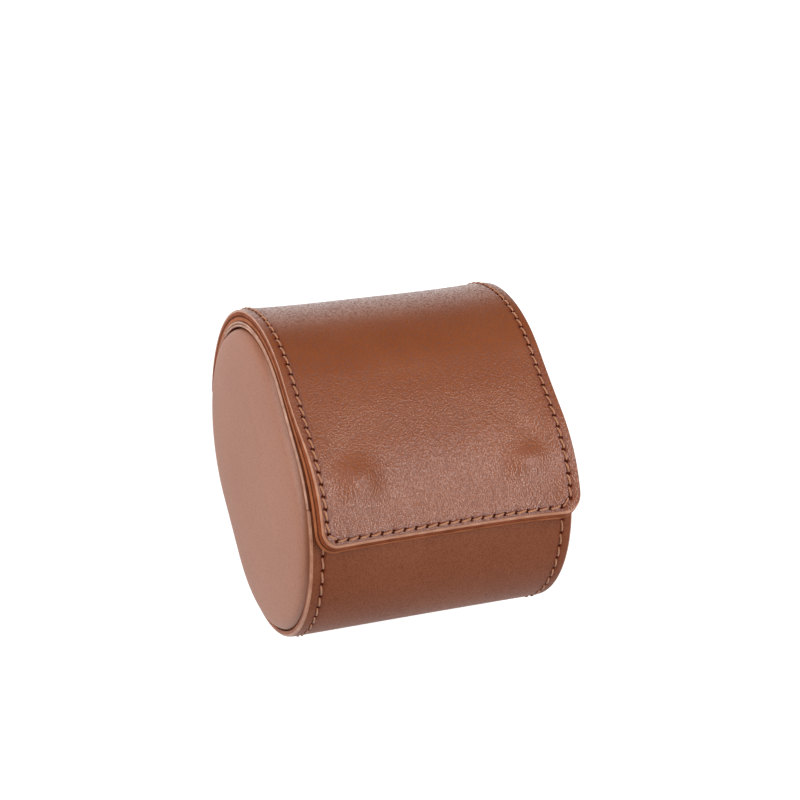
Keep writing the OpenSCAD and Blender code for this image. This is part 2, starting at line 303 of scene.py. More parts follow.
flap_edge = cut_edge("flap_cut_edge", linear(112, 52, 27), linear(156, 84, 50), specular=0.05)
# the flap's upper rounding is paler: partly rubbed wear, partly a painted highlight
flap_arris = cut_edge("flap_arris_wear_and_painted_highlight", linear(168, 108, 76), linear(206, 154, 124), 0.32, streak=0.5)
lining_edge = cut_edge("lining_cut_edge", linear(138, 74, 44), linear(176, 106, 70), specular=0.05)
barrel_edge = cut_edge("barrel_cut_edge", linear(120, 66, 42), linear(164, 100, 70), specular=0.25)
# the wrap's upper rounding is paler: partly rubbed wear, partly a painted highlight
barrel_arris = cut_edge("barrel_arris_wear_and_painted_highlight", linear(158, 100, 70), linear(204, 154, 124), 0.4, streak=0.5)
# the ridges' pale colour is partly wear and partly a painted highlight
rim_edge = cut_edge("rim_ridge_wear_and_painted_highlight", linear(144, 90, 64), linear(204, 156, 130), 0.42)
# the roundings where the flap's leather meets its lining are painted dark: painted shade in the crevice between
# the layers
layer_crevice_painted_shade = cut_edge("layer_crevice_painted_shade", linear(76, 36, 20), linear(112, 58, 34), 0.8, specular=0.08)
# the strip's upper face under the flap is painted darker: painted shade
rim_face_painted_shade = cut_edge("rim_shaded_face", linear(90, 44, 25), linear(118, 62, 38), specular=0.1)
rim_groove = cut_edge("rim_groove", linear(88, 46, 28), linear(122, 70, 46), specular=0.1)

# %% [markdown]
# The inside is suede: split leather with a short nap. A nap scatters light at grazing angles, which the sheen
# does, and brushing leaves soft lighter and darker patches.

# %% Suede, thread and hidden finishes
def suede(name, dark, light):
    material, tree, surface = shader(name, light, 0.92, 0.2, sheen=0.18)
    surface.inputs["Sheen Roughness"].default_value = 0.45
    where = object_millimetres(tree)
    brushed = noise(tree, where, Scale=0.16, Detail=5.0, Roughness=0.7, Distortion=0.2)
    nap = noise(tree, where, Scale=3.2, Detail=4.0, Roughness=0.8)
    tree.links.new(ramp(tree, brushed, [(0.25, dark), (0.75, light)]), surface.inputs["Base Color"])
    relief(tree, surface, nap, 0.8, 0.00012)
    return material


def plain_finish(name, dark, light, roughness, metallic=0.0, specular=0.5, scale=0.8):
    material, tree, surface = shader(name, light, roughness, specular)
    surface.inputs["Metallic"].default_value = metallic
    mottle = noise(tree, object_millimetres(tree), Scale=scale, Detail=6.0, Roughness=0.7)
    tree.links.new(ramp(tree, mottle, [(0.35, dark), (0.65, light)]), surface.inputs["Base Color"])
    relief(tree, surface, mottle, 0.4, 0.0001)
    return material


def twisted_thread(name, dark, light):
    """UVs run along the stitch in u and round it in v, so a slanted wave is the thread's twist."""
    material, tree, surface = shader(name, light, 0.5, 0.4, sheen=0.2)
    twist = add(tree, "ShaderNodeTexWave", Scale=0.9, Distortion=0.6, Detail=2.0, bands_direction="DIAGONAL")
    tree.links.new(hide_millimetres(tree), twist.inputs["Vector"])
    plies = twist.outputs["Fac"]
    tree.links.new(ramp(tree, plies, [(0.1, dark), (0.7, light)]), surface.inputs["Base Color"])
    relief(tree, surface, plies, 0.7, 0.00012)
    return material


inner_suede = suede("inner_suede", linear(158, 126, 96), linear(174, 144, 112))
cushion_suede = suede("cushion_suede", linear(164, 132, 100), linear(180, 150, 118))
thread = twisted_thread("waxed_thread", linear(160, 92, 56), linear(216, 150, 106))
# the holes are dark cups on the leather: painted shade for the shadow inside each hole
needle_hole_painted_shade = plain_finish("needle_hole_painted_shade", linear(48, 18, 9), linear(72, 30, 17), 0.95, specular=0.02)
flesh_side = plain_finish("flesh_side", linear(120, 76, 52), linear(158, 108, 78), 0.9, scale=1.6)
board_finish = plain_finish("pressed_board", linear(104, 66, 42), linear(132, 88, 60), 0.85)
foam_finish = plain_finish("open_foam", linear(214, 206, 184), linear(236, 230, 212), 0.95, scale=2.5)
magnet_finish = plain_finish("plated_magnet", linear(168, 170, 174), linear(206, 208, 212), 0.3, metallic=1.0)
print("finishes:", len(bpy.data.materials))

# %% [markdown]
# ## A leather blank
# All leather here is sheet. A blank is a fine grid with an outline, a top and a bottom, and between them a
# rounded edge. On the flap and the wrap its upper rounding is paler, partly rubbed and partly a painted
# highlight. One helper makes it from three rules: where the grid lies for a given distance in from the outline,
# how high its top is, and how thick it is. That is quicker to change than a modelled mesh, and a solidify
# modifier wouldn't give the edge its own shape and finish.

# %% Blank helper
def boundary(rows, cols):
    """Indices once round the rim of a grid."""
    grid = np.arange(rows * cols).reshape(rows, cols)
    return np.concatenate([grid[0, :-1], grid[:-1, -1], grid[-1, :0:-1], grid[:0:-1, 0]])


def grid_quads(rows, cols):
    grid = np.arange(rows * cols).reshape(rows, cols)
    return np.stack([grid[:-1, :-1], grid[:-1, 1:], grid[1:, 1:], grid[1:, :-1]], -1).reshape(-1, 4)


def ring_quads(count, around, closed=False):
    """Faces between neighbouring rings of equal point counts; closed joins the last ring to the first."""
    here = np.arange(count * around).reshape(count, around)
    there = np.roll(here, -1, 0)
    quads = np.stack([here, np.roll(here, -1, 1), np.roll(there, -1, 1), there], -1)
    return (quads if closed else quads[:-1]).reshape(-1, 4)


def capped_rings(count, around):
    """The faces of a closed skin over rings, with a flat face at each end."""
    points = np.arange(count * around)
    return [*ring_quads(count, around), points[:around][::-1], points[-around:]]


def mesh_piece(name, points, faces, materials, finish=None, uv=None):
    mesh = bpy.data.meshes.new(name)
    mesh.from_pydata([tuple(p) for p in points], [], [tuple(int(i) for i in face) for face in faces])
    for material in materials:
        mesh.materials.append(material)
    if finish is not None:
        mesh.polygons.foreach_set("material_index", np.asarray(finish, np.int32))
    if uv is not None:
        layer = mesh.uv_layers.new(name="hide_mm")
        loops = np.zeros(len(mesh.loops), np.int32)
        mesh.loops.foreach_get("vertex_index", loops)
        layer.data.foreach_set("uv", np.asarray(uv, np.float32)[loops].ravel())
    mesh.polygons.foreach_set("use_smooth", np.ones(len(mesh.polygons), bool))
    mesh.validate()
    piece = bpy.data.objects.new(name, mesh)
    bpy.context.collection.objects.link(piece)
    return piece


def slab(name, front, back, material, uv=None):
    """A sheet between two grids of points, with a wall round their rims."""
    rows, cols = front.shape[:2]
    face, rim = grid_quads(rows, cols), boundary(rows, cols)
    wall = np.stack([rim, np.roll(rim, -1), np.roll(rim, -1) + rows * cols, rim + rows * cols], -1)
    return mesh_piece(name, np.concatenate([front.reshape(-1, 3), back.reshape(-1, 3)]),
                      np.concatenate([face, rows * cols + face[:, ::-1], wall]), [material], None, uv)


FACE, CUT, BACK, UPPER_ARRIS, LOWER_ARRIS = range(5)      # the order of a blank's materials


def edge_profile(thickness, round_top, round_bottom, top_out=0.0, bottom_out=0.0):
    """A cut edge from the top face down to the bottom face, as (inset, drop, finish) steps. The cut may lean:
    bent leather shows a slanted edge, because its inner side reaches further round than its outer side."""
    steps, turns = [], 5
    for i in range(turns + 1):
        a = i / turns * math.pi / 2
        steps.append((top_out + round_top * (1 - math.sin(a)), round_top * (1 - math.cos(a)), UPPER_ARRIS))
    for i in range(1, 4):
        part = i / 4
        steps.append((top_out + (bottom_out - top_out) * part,
                      round_top + (thickness - round_top - round_bottom) * part, CUT))
    for i in range(turns + 1):
        a = i / turns * math.pi / 2
        steps.append((bottom_out + round_bottom * (1 - math.cos(a)),
                      thickness - round_bottom * (1 - math.sin(a)), LOWER_ARRIS if i else CUT))
    return steps


def blank(name, outline, top, edge, materials, stitch_groove_shade=None):
    """A sheet of leather. outline(inset) gives s and x of the grid; top(s, x) is the height of its upper face.
    stitch_groove_shade(s, x) is the painted shade beside its threads, in the troughs the stitches draw down,
    from 0 to 1."""
    insets, drops, marks = zip(*edge)
    s, x = outline(insets[0])
    rows, cols = s.shape
    rim = boundary(rows, cols)
    points, uvs = [place(x, s, top(s, x)).reshape(-1, 3)], [np.stack([x.ravel(), s.ravel()], -1)]
    quads, finish = [grid_quads(rows, cols)[:, ::-1]], [FACE] * ((rows - 1) * (cols - 1))
    last, count = rim.copy(), rows * cols
    for inset, drop, mark in edge[1:-1]:
        s_in, x_in = outline(inset)
        s_rim, x_rim = s_in.ravel()[rim], x_in.ravel()[rim]
        points.append(place(x_rim, s_rim, top(s_rim, x_rim) - drop))
        uvs.append(np.stack([x_rim + np.sign(x_rim) * drop, s_rim + drop], -1))
        ring = count + np.arange(len(rim))
        quads.append(np.stack([last, ring, np.roll(ring, -1), np.roll(last, -1)], -1))
        finish += [mark] * len(rim)
        last, count = ring, count + len(rim)
    s_low, x_low = outline(insets[-1])
    points.append(place(x_low, s_low, top(s_low, x_low) - drops[-1]).reshape(-1, 3))
    uvs.append(np.stack([x_low.ravel(), s_low.ravel()], -1))
    ring = count + rim
    quads.append(np.stack([last, ring, np.roll(ring, -1), np.roll(last, -1)], -1))
    finish += [marks[-1]] * len(rim)
    quads.append(count + grid_quads(rows, cols))
    finish += [BACK] * ((rows - 1) * (cols - 1))
    uvs = np.concatenate(uvs)
    piece = mesh_piece(name, np.concatenate(points), np.concatenate(quads), materials, finish, uvs / MM)
    if stitch_groove_shade is not None:
        layer = piece.data.attributes.new("stitch_groove_shade", "FLOAT", "POINT")
        layer.data.foreach_set("value", stitch_groove_shade(uvs[:, 1], uvs[:, 0]).astype(np.float32))
    print(name, "has", len(piece.data.vertices), "points")
    return piece


def smooth_step(low, high, value):
    t = np.clip((value - low) / (high - low), 0, 1)
    return t * t * (3 - 2 * t)


def bell(value, middle, width):
    return np.exp(-((value - middle) / width) ** 2)


# %% [markdown]
# ## Stitch rows
# A saddle stitch sinks into its two holes and lies in a slight slant between them. The holes are what the eye
# sees first. Each row is planned before the leather is shaped, because the leather has to dip at every hole.

# %% Plan the rows
FLAP_OUT = 3.4 * MM
FLAP_HALF = 35.0 * MM
SEAM_MARGIN = 2.3 * MM
FRONT_MARGIN = 3.9 * MM
ROW_X = 32.4 * MM                           # the rows near the rims, on the flap and on the barrel
FLAP_PITCH, SHELL_PITCH = 3.0 * MM, 4.0 * MM
ROW_TURN = 3.2 * MM                         # radius of the flap's row at its front corners
STRETCH = (SKIN_R + FLAP_OUT) / SKIN_R      # a length on the flap's face over the same length on the skin


def face_length(s):
    """Length along the flap's outer face up to s."""
    bends = np.clip(s, 0, NOSE) + np.clip(s - NOSE - 2 * HALF_FLAT, 0, NOSE)
    return bends * STRETCH + np.clip(s - NOSE, 0, 2 * HALF_FLAT)


table_s = np.linspace(0, 2 * NOSE + 2 * HALF_FLAT, 2000)
table_length = face_length(table_s)


def even_row(path, pitch):
    """Needle holes at an even pitch along a path of (s, x) points."""
    path = np.array(path)
    flat = np.stack([face_length(path[:, 0]), path[:, 1]], -1)
    run = np.concatenate([[0], np.cumsum(np.linalg.norm(np.diff(flat, axis=0), axis=1))])
    holes = max(2, int(round(run[-1] / pitch)) + 1)
    at = np.linspace(0, run[-1], holes)
    return np.stack([np.interp(np.interp(at, run, flat[:, 0]), table_length, table_s),
                     np.interp(at, run, flat[:, 1])], -1)


corner_s = FLAP_FRONT - (FRONT_MARGIN + ROW_TURN) / STRETCH
corner = [(corner_s + ROW_TURN / STRETCH * math.sin(a), ROW_X - ROW_TURN + ROW_TURN * math.cos(a))
          for a in np.linspace(0, math.pi / 2, 9)]
seam_s = ANCHOR_END + SEAM_MARGIN / STRETCH
half_row = [(s, ROW_X) for s in np.linspace(seam_s, corner_s, 200)] + corner
flap_rows = [even_row(half_row + [(s, -x) for s, x in half_row[::-1]], FLAP_PITCH),
             even_row([(seam_s, -ROW_X), (seam_s, ROW_X)], FLAP_PITCH)]
shell_start, shell_end = MOUTH_FRONT + RIM_REACH, AROUND + ANCHOR_END
shell_count = int(round((shell_end - shell_start) / SHELL_PITCH))
shell_rows = [np.stack([np.linspace(shell_start, shell_end, shell_count + 1),
                        np.full(shell_count + 1, side * ROW_X)], -1) for side in (-1, 1)]
print("holes: %d round the flap, %d in its rear seam, %d in a barrel row"
      % (len(flap_rows[0]), len(flap_rows[1]), shell_count + 1))


# %% Dips at holes and along rows
FLAP_DIP, FLAP_PIT = 0.16 * MM, 0.62 * MM           # depth, and width of a pit
SHELL_DIP, SHELL_PIT = 0.20 * MM, 0.60 * MM


def row_dips(s, x, holes, depth, width, stretch):
    """How far the leather is drawn down by a row of stitches: a soft trough, and a pit at each hole."""
    shape = np.broadcast(s, x).shape
    s, x = np.broadcast_to(s, shape).ravel(), np.broadcast_to(x, shape).ravel()
    drawn = np.zeros(len(s))
    low, high = holes.min(0) - 3 * MM, holes.max(0) + 3 * MM      # no dip is felt further away
    near = np.nonzero((s > low[0]) & (s < high[0]) & (x > low[1]) & (x < high[1]))[0]
    for part in np.array_split(near, max(1, len(near) // 4000)):
        if not len(part):
            continue
        away = np.hypot((s[part, None] - holes[None, :, 0]) * stretch, x[part, None] - holes[None, :, 1])
        pit = np.exp(-(away / width) ** 2).sum(1)
        a, b = holes[:-1], holes[1:]
        ab = (b - a) * (stretch, 1)
        ap = np.stack([(s[part, None] - a[None, :, 0]) * stretch, x[part, None] - a[None, :, 1]], -1)
        t = np.clip((ap * ab).sum(-1) / (ab * ab).sum(-1), 0, 1)
        line = np.linalg.norm(ap - t[..., None] * ab, axis=-1).min(1)
        drawn[part] = depth * (0.5 * np.exp(-(line / (1.3 * width)) ** 2) + pit)
    return drawn.reshape(shape)


def dips(s, x, rows, depth, width, stretch=STRETCH):
    return sum(row_dips(s, x, holes, depth, width, stretch) for holes in rows)


# %% [markdown]
# ## The flap
# The flap and its fixed rear part are one leather with a lining behind it. Its ends lie on the rim strips, and
# between them it sags a little over the mouth. Below the mouth it meets the barrel's front, where it stands up
# in a soft bump over each of two hidden magnets. Its free corners stand off a little. All this is one height
# rule, used for the leather and the lining alike, so that the layers stay together.

# %% The flap's height rule
# Places along the hide and heights there, in mm
sag_knots = [(0, 0), (30, -0.05), (46, -0.30), (60, -0.38), (72, -0.50), (84, -0.60), (93, -0.55),
             (103.7, -0.32), (112.7, 0.02), (121.7, -0.40), (127, -0.60), (134, -0.50), (146, -0.30),
             (250, -0.30)]
STEP, SOFTNESS, REACH = 0.5, 3.0, 16        # the knots are rounded off over a few millimetres
sag_s = np.arange(0, 250, STEP)
kernel = np.exp(-(np.arange(-REACH, REACH + 1) * STEP / SOFTNESS) ** 2)
sag_h = np.pad(np.interp(sag_s, *zip(*sag_knots)), REACH, mode="edge")
sag_h = np.convolve(sag_h, kernel / kernel.sum(), mode="valid")

# Side, distance below the mouth's edge, length and height of each bump over a magnet, in mm
magnet_bumps = ((-1, 1.8, 4.8, 1.70), (1, 2.6, 3.5, 1.40))
LEFT_LIFT, RIGHT_LIFT = 1.3 * MM, 2.3 * MM


def flap_shape(s, x, bump_share=1.0):
    """Height of the flap's leather above its even, closed form."""
    across = np.clip(1 - (np.abs(x) / (31.5 * MM)) ** 4, 0, 1)
    over_mouth = smooth_step(MOUTH_REAR - 8 * MM, MOUTH_REAR + 14 * MM, s)
    sag = np.interp(s / MM, sag_s, sag_h) * MM * across
    rest = -0.40 * MM * smooth_step(28 * MM, 45 * MM, s) * (1 - smooth_step(84 * MM, 124 * MM, s))
    lift = np.where(x > 0, RIGHT_LIFT, LEFT_LIFT)
    stand = lift * smooth_step(98 * MM, FLAP_FRONT, s) ** 1.3 * (np.abs(x) / FLAP_HALF) ** 4
    bumps = 0
    for side, below_mouth, length, height in magnet_bumps:
        raised = bell(x, side * 22.5 * MM, 5.8 * MM) * bell(s, MOUTH_FRONT + below_mouth * MM, length * MM)
        aslant = s - 0.5 * np.abs(x)
        drawn_in = bell(x, side * 25.5 * MM, 5.0 * MM) * bell(aslant, MOUTH_FRONT - 17.5 * MM, 4.5 * MM)
        bumps = bumps + height * MM * raised - 0.45 * MM * drawn_in
    wave = 0.07 * MM * np.sin(s / (9 * MM) + 0.7) * np.sin(x / (12 * MM) + 0.4)
    return sag + rest + stand + (bump_share * bumps + wave) * over_mouth


def flap_top(s, x):
    edge = np.minimum(FLAP_HALF - np.abs(x), (FLAP_FRONT - s) * STRETCH)
    rubbed = -0.10 * MM * np.exp(-np.clip(edge, 0, 1) / (1.0 * MM))
    return FLAP_OUT + flap_shape(s, x) + rubbed - dips(s, x, flap_rows, FLAP_DIP, FLAP_PIT)


# %% Flap outline
FLAP_CORNER = 5.5 * MM                      # across the flap
CORNER_RUN = 6.2 * MM                       # along the flap
FRONT_LEAN, SIDE_LEAN = 1.7, 0.15           # how far the cut slants, over its inset
side_forms = ((1.0, 0.0), (0.45, 0.6 * MM))     # lean and flare of the left and right side near the front


def flap_outline(rows_straight, rows_corner, cols):
    """A grid rule for the flap: straight sides, two round front corners, square rear corners."""
    spread = np.linspace(-1, 1, cols)
    spread = np.sign(spread) * (1 - (1 - np.abs(spread)) ** 1.25)

    def outline(inset):
        round_s, round_x = (CORNER_RUN - inset) / STRETCH, FLAP_CORNER - inset
        start = FLAP_FRONT - FRONT_LEAN * inset / STRETCH - round_s
        a = np.linspace(0, math.pi / 2, rows_corner)
        straight = np.linspace(ANCHOR_END + inset / STRETCH, start, rows_straight)[:-1]
        to_front = smooth_step(106 * MM, 136 * MM, straight)
        s = np.concatenate([straight, start + round_s * np.sin(a)])
        halves = []
        for lean, flare in side_forms:
            end = FLAP_HALF + flare - lean * inset
            along = FLAP_HALF + flare * to_front - inset * (SIDE_LEAN + (lean - SIDE_LEAN) * to_front)
            halves.append(np.concatenate([along, end - round_x * (1 - np.cos(a))])[:, None])
        x = np.where(spread[None, :] < 0, halves[0], halves[1]) * spread[None, :]
        return np.repeat(s[:, None], cols, 1), x
    return outline


# %% Cut the flap and its lining
MAGNET_X, MAGNET_BELOW = 24 * MM, 7 * MM
LINING_OUT, OVER_MAGNET = 1.72 * MM, 1.80 * MM


# painted shade: darker in the trough and the pits of each flap stitch row
def flap_stitch_groove_shade(s, x):
    return np.clip(dips(s, x, flap_rows, 1.0, FLAP_PIT) * 1.3, 0, 1)


def lining_top(s, x):
    """The lining follows the leather, but lies flat over each magnet."""
    rear = 1 - smooth_step(MOUTH_REAR - 14 * MM, MOUTH_REAR, s)
    free = LINING_OUT + flap_shape(s, x, 0.3) - 0.1 * MM * rear
    from_magnet = np.hypot((s - MOUTH_FRONT - MAGNET_BELOW) * STRETCH, np.abs(x) - MAGNET_X)
    over_magnet = 1 - smooth_step(4.6 * MM, 7.5 * MM, from_magnet)
    return free + (OVER_MAGNET - free) * over_magnet


# the roundings at the crevice between the leather and the lining carry painted shade
flap_leather = blank("flap_leather_blank", flap_outline(330, 22, 190), flap_top,
                     edge_profile(1.62 * MM, 0.55 * MM, 0.25 * MM, 1.15 * MM, 0.62 * MM),
                     [flap_face, flap_edge, flesh_side, flap_arris, layer_crevice_painted_shade], flap_stitch_groove_shade)
flap_lining = blank("flap_lining_blank", flap_outline(200, 16, 110), lining_top,
                    edge_profile(1.18 * MM, 0.25 * MM, 0.35 * MM, 0.42 * MM, 0.0),
                    [flesh_side, lining_edge, lining_face, layer_crevice_painted_shade, lining_edge])
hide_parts("flap_leather", "flap_anchor_leather")
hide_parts("flap_lining", "flap_anchor_lining")

# %% [markdown]
# ## Threads and holes
# A stitch is a short bent tube that dives at both ends. The twist of its plies comes from the material. A hole
# is a small dark cup that lies just above the pit in the leather: painted shade, for the shadow in the hole.

# %% Stitch helpers
THREAD_SIDES, HOLE_SIDES = 8, 12
CUP_RINGS = ((1.0, 0.015 * MM), (0.62, 0.045 * MM), (0.02, 0.05 * MM))     # size, and height above the leather
THREAD_SQUASH = 0.82                        # a thread is pressed a little flat on the leather
TURN_OFF = 0.5                              # how far a hole is turned off square to its row


def tube(path, normals, radius):
    """Points and faces of a thread along a path."""
    path, normals = np.asarray(path), np.asarray(normals)
    along = np.gradient(path, axis=0)
    along /= np.linalg.norm(along, axis=1)[:, None]
    across = np.cross(along, normals)
    across /= np.linalg.norm(across, axis=1)[:, None]
    out = np.cross(across, along)
    a = np.linspace(0, 2 * math.pi, THREAD_SIDES, endpoint=False)[None, :, None]
    spokes = np.cos(a) * across[:, None, :] + THREAD_SQUASH * np.sin(a) * out[:, None, :]
    rings = path[:, None, :] + radius[:, None, None] * spokes
    return rings.reshape(-1, 3), ring_quads(len(path), THREAD_SIDES)


def skin_normal(s):
    a = normal_angle(s)
    return np.stack([np.zeros_like(a), np.cos(a), np.sin(a)], -1)


def stitches(name, rows, top, radius, slant, stand, stretch=STRETCH, reach=0.46):
    """One mesh of all the stitches of some rows, each between two neighbouring holes."""
    points, quads, uvs, count = [], [], [], 0
    t = np.linspace(-1, 1, 11)
    for holes in rows:
        for (s0, x0), (s1, x1) in zip(holes[:-1], holes[1:]):
            ds, dx = (s1 - s0) * stretch, x1 - x0
            length = math.hypot(ds, dx)
            side = slant * length * 0.5 * t
            s = (s0 + s1) / 2 + (t * reach * ds - side * dx / length) / stretch
            x = (x0 + x1) / 2 + t * reach * dx + side * ds / length
            h = top(s, x) + stand * (1 - np.abs(t) ** 3.2) - 0.75 * radius * np.abs(t) ** 6
            rings, faces = tube(place(x, s, h), skin_normal(s), radius * (1 - 0.22 * np.abs(t) ** 4))
            points.append(rings)
            quads.append(faces + count)
            run = (t + 1) * length / MM * 2.2
            uvs.append(np.stack([np.repeat(run, THREAD_SIDES),
                                 np.tile(np.arange(THREAD_SIDES) * 0.9, len(t))], -1))
            count += len(rings)
    return mesh_piece(name, np.concatenate(points), np.concatenate(quads), [thread], None, np.concatenate(uvs))


def needle_holes(name, rows, top, length, width, stretch=STRETCH):
    """One mesh of dark cups, painted shade where the holes are, each a slot turned a little off square to its
    row.
    """
    points, quads, count = [], [], 0
    a = np.linspace(0, 2 * math.pi, HOLE_SIDES, endpoint=False)
    for holes in rows:
        way = np.gradient(holes, axis=0) * (stretch, 1)
        way /= np.linalg.norm(way, axis=1)[:, None]
        for (s0, x0), (ws, wx) in zip(holes, way):
            cross = np.array([-wx + TURN_OFF * ws, ws + TURN_OFF * wx])
            cross /= np.linalg.norm(cross)
            run = np.array([cross[1], -cross[0]])
            for ring, (scale, lift) in enumerate(CUP_RINGS):
                ds = scale * (np.cos(a) * length * cross[0] + np.sin(a) * width * run[0]) / 2
                dx = scale * (np.cos(a) * length * cross[1] + np.sin(a) * width * run[1]) / 2
                s, x = s0 + ds / stretch, x0 + dx
                points.append(place(x, s, top(s, x) + lift))
                if ring:
                    inner = count + np.arange(HOLE_SIDES)
                    outer = inner - HOLE_SIDES
                    quads.append(np.stack([outer, np.roll(outer, -1), np.roll(inner, -1), inner], -1))
                count += HOLE_SIDES
    return mesh_piece(name, np.concatenate(points), np.concatenate(quads), [needle_hole_painted_shade])


# %% Stitch the flap
flap_thread = stitches("flap_thread", flap_rows, flap_top, 0.26 * MM, 0.17, 0.26 * MM, reach=0.41)
flap_needle_holes = needle_holes("flap_needle_holes", flap_rows, flap_top, 1.22 * MM, 0.92 * MM)
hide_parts("flap_stitching", "flap_anchor_stitching")
print("flap stitches:", sum(len(holes) - 1 for holes in flap_rows))

# %% [markdown]
# ## The barrel's wrap
# One leather goes round the board from the mouth's front edge, under the case, to its rear edge. Where the rim
# strips run past the mouth, its corners are notched. Along the rims it is pulled over the end boards' corners,
# so its edge is a soft round with a pale line, partly rubbed and partly a painted highlight, and the stitches
# sit in a shallow trough, with painted shade beside them.

# %% Wrap leather
def wrap_top(s, x):
    near_rim = RIM_PLANE - np.abs(x)
    soft = -0.22 * MM * np.exp(-(np.clip(near_rim, 0, 1) / (0.9 * MM)) ** 1.5)
    wave = 0.06 * MM * (np.sin(s / (17 * MM)) * np.sin(x / (15 * MM) + 1) - 1)
    return -0.05 * MM + soft + wave - dips(s, x, shell_rows, SHELL_DIP, SHELL_PIT, 1.0)


# painted shade: darker in the trough and the pits of each barrel stitch row
def wrap_stitch_groove_shade(s, x):
    return np.clip(dips(s, x, shell_rows, 1.0, SHELL_PIT, 1.0), 0, 1)


def wrap_outline(inset):
    """The barrel's leather, narrower at both ends, where the rim strips lie beside it."""
    front, rear, shoulder = MOUTH_FRONT, AROUND + MOUTH_REAR, AROUND + REAR_NOTCH
    notch, step = 3.5 * MM, 0.02 * MM
    tongue_rows, body_rows, cols = 42, 380, 150
    s = np.concatenate([np.linspace(front + inset, front + RIM_REACH - step, tongue_rows),
                        np.linspace(front + RIM_REACH, shoulder, body_rows),
                        np.linspace(shoulder + step, rear - inset, tongue_rows)])
    width = np.full(len(s), RIM_PLANE - inset)
    width[:tongue_rows] -= notch
    width[-tongue_rows:] -= notch
    spread = np.linspace(-1, 1, cols)
    spread = np.sign(spread) * (1 - (1 - np.abs(spread)) ** 1.45)
    return np.repeat(s[:, None], cols, 1), width[:, None] * spread[None, :]


wrap_leather = blank("barrel_wrap_leather", wrap_outline, wrap_top,
                     edge_profile(1.42 * MM, 0.55 * MM, 0.2 * MM),
                     [barrel_face, barrel_edge, flesh_side, barrel_arris, barrel_edge], wrap_stitch_groove_shade)
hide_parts("shell_leather")
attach(wrap_leather, "case")

# %% Stitch the barrel
barrel_thread = stitches("barrel_thread", shell_rows, wrap_top, 0.25 * MM, 0.08, 0.20 * MM, 1.0, 0.39)
barrel_needle_holes = needle_holes("barrel_needle_holes", shell_rows, wrap_top, 0.90 * MM, 0.70 * MM, 1.0)
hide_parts("shell_stitching")
for piece in (barrel_thread, barrel_needle_holes):
    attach(piece, "case")

# %% [markdown]
# The wrap is turned in over the board at the mouth's two edges. Each turned edge is a narrow strip of the same
# leather that bends through a right angle, so it is made as one short sheet across the board's thickness.

# %% Turned mouth edges
LINING_HALF = 31.4 * MM                     # the room between the two end linings


def turned_strip(name, at, way):
    """A strip across the board's edge, from the wrap's face down to the lining."""
    depth, thick, puffed = 4.25 * MM, 1.45 * MM, 0.28 * MM
    heights = np.linspace(-0.35 * MM, -depth, 14)
    h, x = np.meshgrid(heights, np.linspace(-LINING_HALF, LINING_HALF, 90), indexing="ij")
    puff = puffed * np.sin(np.linspace(0, math.pi, len(heights)))[:, None] ** 0.7
    uv = np.stack([np.tile(x.ravel(), 2), np.tile(h.ravel(), 2)], -1) / MM
    return slab(name, place(x, at - way * puff * 0.6, h), place(x, at + way * thick, h), barrel_face, uv)


for name, at, way in (("mouth_front_turned_edge", MOUTH_FRONT, 1),
                      ("mouth_rear_turned_edge", AROUND + MOUTH_REAR, -1)):
    piece = turned_strip(name, at, way)
    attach(piece, "case")

# %% [markdown]
# ## Rim strips
# Along the mouth the end boards' corners carry a strip of two plies. Its outer edge shows two pale lines,
# partly rubbed and partly a painted highlight, with a rough groove between them, where the plies meet. Its
# upper face, under the flap, is painted shade. It is one section, with that groove, swept along.

# %% Rim strips
# Each point is a distance out from the rim's plane and a height above the skin
rim_section = np.array([(-3.0, -1.45), (-3.0, -0.30), (-2.7, -0.08), (-2.2, 0.0), (-0.50, 0.0),
                        (-0.22, -0.05), (-0.06, -0.20), (0.0, -0.36), (-0.05, -0.52), (-0.30, -0.66),
                        (-0.42, -0.74), (-0.32, -0.82), (-0.06, -0.94), (0.0, -1.10), (-0.04, -1.28),
                        (-0.18, -1.45)]) * MM
SHADED, RIDGE, GROOVE = range(3)
rim_finish = [SHADED] * 5 + [RIDGE] * 4 + [GROOVE] * 2 + [RIDGE] * 4 + [SHADED]
rim_s = np.linspace(REAR_NOTCH + 0.1 * MM, MOUTH_FRONT + RIM_REACH - 0.1 * MM, 190)


def rim_strip(name, side):
    rows, around = len(rim_s), len(rim_section)
    s, x = np.meshgrid(rim_s, side * (RIM_PLANE + rim_section[:, 0]), indexing="ij")
    marks = rim_finish * (rows - 1) + [RIDGE, RIDGE]
    return mesh_piece(name, place(x, s, rim_section[None, :, 1]).reshape(-1, 3), capped_rings(rows, around),
                      [rim_face_painted_shade, rim_edge, rim_groove], marks, np.stack([x.ravel(), s.ravel()], -1) / MM)


for side, word in ((-1, "left"), (1, "right")):
    strip = rim_strip("mouth_rim_strip_" + word, side)
    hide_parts("mouth_rim_" + word)
    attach(strip, "case")

# %% [markdown]
# ## Padded end caps
# Each end is a board with a thin foam pad and a smooth leather pulled over it. The leather is tight, so it has
# no folds: it rises steeply at the edge, rounds over and crowns gently. It is made of rings that shrink from
# the edge to the middle line, with the height read from a smooth crown.

# %% End caps
CAP_R = 31.0 * MM
CAP_CROWN, CAP_SHOULDER = 1.95 * MM, 1.75 * MM
CAP_TUCK = 1.45 * MM                        # how deep the leather's edge lies below the cap's edge line


def cap_height(inset):
    """Height of the cap's skin above its edge line, by distance in from the edge."""
    shoulder = CAP_SHOULDER * (1 - np.exp(-(inset / (0.75 * MM)) ** 0.9))
    return shoulder + CAP_CROWN * (1 - (1 - np.clip(inset / CAP_R, 0, 1)) ** 3)


